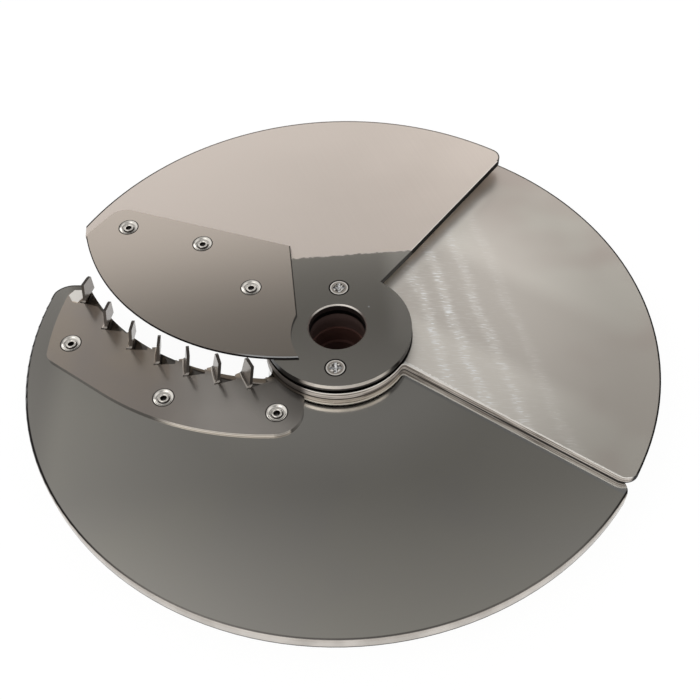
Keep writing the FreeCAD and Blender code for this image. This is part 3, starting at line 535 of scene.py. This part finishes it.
def plated_screw(name):
    """Nickel plated screw: painted glints and shade on the head's centre and in the recess, a
    painted highlight ring round them, and a painted shadow in the gap at the rim.
    """
    material, tree, shader = bare_finish(f"plated_{name}", "#D9D4CC", 0.4)
    place = place_of(tree)
    low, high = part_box(name)
    centre = [(low[axis] + high[axis]) / 2 / MM for axis in (0, 1)]
    radius = from_point(tree, place, centre)
    height = add(tree, SEPARATE, {0: place}).outputs["Z"]
    depth = add(tree, MATH, {0: high[2] / MM, 1: height}, operation="SUBTRACT")
    # Painted glints and shade on the head's centre and in the recess, a painted highlight ring, and
    # a painted shadow in the gap at the rim
    glints_and_shade = coat(tree, "#3A3531", "#F4F0EA", stretched_noise(tree, place, (0.8,) * 3), 0.5, 0.6)
    head = coat(tree, glints_and_shade, "#A29B93", radius, 1.7, 2.1)
    head = coat(tree, head, "#E6E1DA", radius, 2.55, 2.65)
    head = coat(tree, head, "#151312", radius, 2.95, 3.05)
    recess = coat(tree, "#3A3531", WHITE, stretched_noise(tree, place, (0.7,) * 3), 0.38, 0.48)
    feed(tree, shader, {"Base Color": coat(tree, head, recess, depth, 0.05, 0.15)})
    return material


def moulded_plastic():
    """Brown-black nylon, moulded: dull with a faint streak."""
    material, tree, shader = bare_finish("moulded_nylon", "#2A1A16", 0.42, metallic=0.0)
    streak = stretched_noise(tree, place_of(tree), (3.0, 3.0, 0.8))
    feed(tree, shader, {"Base Color": add(tree, MIX, {0: streak, 6: "#4A302A", 7: "#5F4038"},
                                          **COLOUR)})
    return material


# The spacer is steel painted near-black, as the shade between two plates. The boss is turned
# aluminium, whose
# rings are too fine to show: an even soft sheen.
FINISHES = {
    "top_plate": winged_sheet(),
    "middle_plate": ground_sheet(),
    "bottom_plate": buffed_sheet(),
    "slicing_blade": blade_sheet(),
    "comb_plate": comb_sheet(),
    "plate_spacer": bare_finish("spacer_steel_in_shade", "#1E1C1B", 0.5)[0],
    "hub_boss": bare_finish("turned_aluminium", "#EAEAE8", 0.32)[0],
    "drive_bush": moulded_plastic(),
    "hub_screw_1": plated_screw("hub_screw_1"),
    "hub_screw_2": plated_screw("hub_screw_2"),
}
PLATED = bare_finish("bright_nickel", "#E2DDD5", 0.22)[0]
IN_SHADE = bare_finish("shaded_nickel", "#3A3633", 0.45)[0]
for name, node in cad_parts.items():
    for slot in node.material_slots:
        slot.material = FINISHES.get(name, PLATED)


# Rivets: flared head, shaded dish, bright inner ring and an open hole
HEAD_RADIUS, SHANK_RADIUS, HOLE_RADIUS = 3.6, 2.0, 1.0
RIVET_SEGMENTS = 72


def rivet_section(length):
    """Corners once round the section: radius, height, and the finish from there to the next."""
    return [
        (HEAD_RADIUS, 0.0, IN_SHADE), (HEAD_RADIUS - 0.35, 0.1, PLATED),
        (SHANK_RADIUS + 0.75, -0.35, PLATED), (SHANK_RADIUS, -0.75, IN_SHADE),
        (SHANK_RADIUS - 0.3, -0.12, PLATED), (SHANK_RADIUS - 0.5, 0.0, PLATED),
        (HOLE_RADIUS + 0.2, -0.05, PLATED), (HOLE_RADIUS, -0.3, IN_SHADE),
        (HOLE_RADIUS, -length, PLATED), (SHANK_RADIUS, -length, PLATED),
        (SHANK_RADIUS + 1.0, 0.4 - length, PLATED), (SHANK_RADIUS, 0.4 - length, PLATED),
        (SHANK_RADIUS, SHANK_RADIUS - HEAD_RADIUS, PLATED),
    ]


def turned_piece(name, section):
    """A mesh turned about Z from the corners of its section, in millimetres."""
    mesh = bpy.data.meshes.new(name)
    count = len(section)
    points = []
    faces = []
    for segment in range(RIVET_SEGMENTS):
        turn = 2 * math.pi * segment / RIVET_SEGMENTS
        points += [(radius * math.cos(turn) * MM, radius * math.sin(turn) * MM, height * MM)
                   for radius, height, _ in section]
        here = segment * count
        beyond = (segment + 1) % RIVET_SEGMENTS * count
        faces += [(here + step, beyond + step, beyond + (step + 1) % count,
                   here + (step + 1) % count) for step in range(count)]
    mesh.from_pydata(points, [], faces)
    finishes = [finish for _, _, finish in section]
    materials = list(dict.fromkeys(finishes))
    for material in materials:
        mesh.materials.append(material)
    for index, face in enumerate(mesh.polygons):
        face.material_index = materials.index(finishes[index % count])
        face.use_smooth = True
    piece = bpy.data.objects.new(name, mesh)
    bpy.context.scene.collection.objects.link(piece)
    return piece


# Rivets on the wing stand square to its slope, so they are measured with the slope taken out
crease_turn = math.radians(CREASE_AZIMUTH)
crease = (math.cos(crease_turn), math.sin(crease_turn), 0)
slope = Matrix.Rotation(math.radians(CREASE_ANGLE), 4, crease)
for name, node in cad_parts.items():
    if "rivet" not in name:
        continue
    low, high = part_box(name)
    beyond = (high[1] + low[1]) / 2 * crease[0] - (high[0] + low[0]) / 2 * crease[1]
    on_wing = name.startswith("blade") and beyond > CREASE_OFFSET * MM
    turn = slope if on_wing else Matrix.Identity(4)
    upright = [turn.inverted() @ node.matrix_world @ vertex.co for vertex in node.data.vertices]
    lows, highs = ([pick(point[axis] for point in upright) for axis in range(3)]
                   for pick in (min, max))
    piece = turned_piece(f"{name}_turned", rivet_section((highs[2] - lows[2]) / MM))
    middle = Vector(((lows[0] + highs[0]) / 2, (lows[1] + highs[1]) / 2, highs[2]))
    piece.data.transform(turn @ Matrix.Translation(middle))
    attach(piece, "root")
    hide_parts(name)


def sheet_piece(name, outline, heights, material):
    """A face at one height or a closed plate between two, in metres.

    The outline runs counterclockwise seen from above.
    """
    sides = len(outline)
    mesh = bpy.data.meshes.new(name)
    corners = [(x, y, z) for z in heights for x, y in outline]
    faces = [tuple(range(sides))]
    if len(heights) == 2:
        faces = [tuple(reversed(range(sides))), tuple(range(sides, 2 * sides))]
        faces += [(i, (i + 1) % sides, sides + (i + 1) % sides, sides + i) for i in range(sides)]
    mesh.from_pydata(corners, [], faces)
    mesh.materials.append(material)
    piece = bpy.data.objects.new(name, mesh)
    bpy.context.scene.collection.objects.link(piece)
    return piece


# The comb's end finger, bent flat, its pale colour a painted highlight
FINGER = ((-91.1, 22.1), (-89.0, 21.3), (-87.5, 23.2), (-88.2, 26.9), (-90.8, 27.1), (-92.5, 24.8))
FINGER_HEIGHTS = (COMB_FACE + 0.02, COMB_FACE + 0.3)
finger = sheet_piece("comb_end_finger", [(x * MM, y * MM) for x, y in FINGER],
                     [height * MM for height in FINGER_HEIGHTS],
                     bare_finish("finger_highlight", "#F2EEE8", 0.5)[0])
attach(finger, "root")


# Floor and studio
FLOOR_REACH = 4.0


def white_floor():
    """Matt white floor that the camera and the metal see lit to white, with the shadow kept.

    Below the hub, where the floor shows only down the bore, its glow is left out, a painted shadow.
    """
    material = bpy.data.materials.new("white_floor")
    material.use_nodes = True
    tree = material.node_tree
    tree.nodes.clear()
    path = add(tree, "ShaderNodeLightPath").outputs
    seen = add(tree, MATH, {0: path["Is Camera Ray"], 1: path["Is Glossy Ray"]},
               operation="MAXIMUM")
    seen = add(tree, MATH, {0: seen, 1: path["Is Transmission Ray"]}, operation="MAXIMUM")
    matt = add(tree, "ShaderNodeBsdfDiffuse", {"Color": "#E4E4E4"})
    faint = add(tree, "ShaderNodeBsdfDiffuse", {"Color": "#585858"})
    radius = from_axis(tree, place_of(tree))
    lit_part = add(tree, RANGE, {0: radius, 1: BOSS_RADIUS, 2: BOSS_RADIUS + 0.4, 3: 0.0, 4: 0.93},
                   **SMOOTH)
    glow = add(tree, "ShaderNodeEmission", {"Color": WHITE, "Strength": lit_part})
    lit = add(tree, "ShaderNodeAddShader", {0: faint, 1: glow})
    add(tree, "ShaderNodeOutputMaterial",
        {"Surface": add(tree, "ShaderNodeMixShader", {0: seen, 1: matt, 2: lit})})
    return material


FLOOR_CORNERS = [(x * FLOOR_REACH, y * FLOOR_REACH)
                 for x, y in ((-1, -1), (1, -1), (1, 1), (-1, 1))]
floor = sheet_piece("studio_floor", FLOOR_CORNERS, (0.0,), white_floor())

# Studio: pale walls and a dim ceiling, by the sine of the height seen from the side, and brighter
# to the left and right; the camera sees white
STUDIO_STEPS = ((0.0, 0.9), (0.56, 0.92), (0.63, 0.9), (0.66, 0.76), (0.69, 0.44), (0.714, 0.215),
                (0.735, 0.165), (0.775, 0.155), (0.81, 0.175), (0.86, 0.17), (0.92, 0.29),
                (1.0, 0.5))
DIMMEST_ASIDE = 0.09
SIDE_GAIN = 7.0
BRIGHTEST = 0.92
world = bpy.data.worlds.new("studio")
bpy.context.scene.world = world
world.use_nodes = True
tree = world.node_tree
tree.nodes.clear()
direction = add(tree, "ShaderNodeTexCoord").outputs["Generated"]
axes = add(tree, SEPARATE, {0: direction}).outputs
ahead_square = add(tree, MATH, {0: axes["Y"], 1: axes["Y"]}, operation="MULTIPLY")
side_square = add(tree, MATH, {0: axes["Z"], 1: axes["Z"], 2: ahead_square},
                  operation="MULTIPLY_ADD")
side_length = add(tree, MATH, {0: side_square}, operation="SQRT")
rise = add(tree, MATH, {0: axes["Z"], 1: side_length}, operation="DIVIDE")
ceiling = add(tree, "ShaderNodeValToRGB", {0: rise})
while len(ceiling.color_ramp.elements) < len(STUDIO_STEPS):
    ceiling.color_ramp.elements.new(0.5)
for element, (height, level) in zip(ceiling.color_ramp.elements, STUDIO_STEPS):
    element.position = height
    element.color = (level, level, level, 1.0)
aside = add(tree, MATH, {0: axes["X"], 1: DIMMEST_ASIDE}, operation="SUBTRACT")
aside_square = add(tree, MATH, {0: aside, 1: aside}, operation="MULTIPLY")
gain = add(tree, MATH, {0: aside_square, 1: SIDE_GAIN, 2: 1.0}, operation="MULTIPLY_ADD")
level = add(tree, MATH, {0: ceiling, 1: gain}, operation="MULTIPLY")
level = add(tree, MATH, {0: level, 1: BRIGHTEST}, operation="MINIMUM")
walls = add(tree, "ShaderNodeBackground", {"Color": level})
backdrop = add(tree, "ShaderNodeBackground", {"Color": WHITE})
seen = add(tree, "ShaderNodeLightPath").outputs["Is Camera Ray"]
surround = add(tree, "ShaderNodeMixShader", {0: seen, 1: walls, 2: backdrop})
add(tree, "ShaderNodeOutputWorld", {"Surface": surround})

# Soft lamps aimed at the disc: place and size in metres, power in watts
LAMP_TARGET = Vector((0, 0, 0.02))
for name, lamp_place, lamp_size, power in (
        ("key_softbox", (-0.55, -0.75, 0.95), (0.9, 0.9), 3.0),
        ("right_softbox", (0.42, 0.92, 0.66), (0.5, 0.35), 0.55),
        ("back_softbox", (0.1, 1.15, 0.55), (1.8, 0.5), 1.0)):
    lamp_data = bpy.data.lights.new(name, "AREA")
    lamp_data.shape = "RECTANGLE"
    lamp_data.size, lamp_data.size_y = lamp_size
    lamp_data.energy = power
    lamp = bpy.data.objects.new(name, lamp_data)
    lamp.location = lamp_place
    lamp.rotation_euler = (LAMP_TARGET - lamp.location).to_track_quat("-Z", "Y").to_euler()
    bpy.context.scene.collection.objects.link(lamp)

# Camera, fitted to the photograph's ellipses: pixels, metres and radians
PHOTO_SIDE = 700.0
FOCAL_PIXELS = 938.4
CENTRE_COLUMN = 326.0
CENTRE_ROW = 352.6
CAMERA_PLACE = (0.0, -0.1976, 0.2549)
PAN = -0.0212
DOWN = 0.8924
ROLL = -0.0634

camera_data = bpy.data.cameras.new("photo_camera")
camera = bpy.data.objects.new("photo_camera", camera_data)
bpy.context.scene.collection.objects.link(camera)
camera_data.sensor_width = 36.0
camera_data.lens = camera_data.sensor_width * FOCAL_PIXELS / PHOTO_SIDE
camera_data.shift_x = (PHOTO_SIDE / 2 - CENTRE_COLUMN) / PHOTO_SIDE
camera_data.shift_y = (CENTRE_ROW - PHOTO_SIDE / 2) / PHOTO_SIDE
camera_data.clip_start = 0.01
ahead = Vector((math.sin(PAN) * math.cos(DOWN), math.cos(PAN) * math.cos(DOWN), -math.sin(DOWN)))
right = ahead.cross(Vector((0, 0, 1))).normalized()
above = right.cross(ahead)
rolled_right = right * math.cos(ROLL) + above * math.sin(ROLL)
rolled_above = above * math.cos(ROLL) - right * math.sin(ROLL)
camera_turn = Matrix((rolled_right, rolled_above, -ahead)).transposed().to_4x4()
camera.matrix_world = Matrix.Translation(CAMERA_PLACE) @ camera_turn
bpy.context.scene.camera = camera
bpy.context.scene.view_settings.view_transform = "Standard"
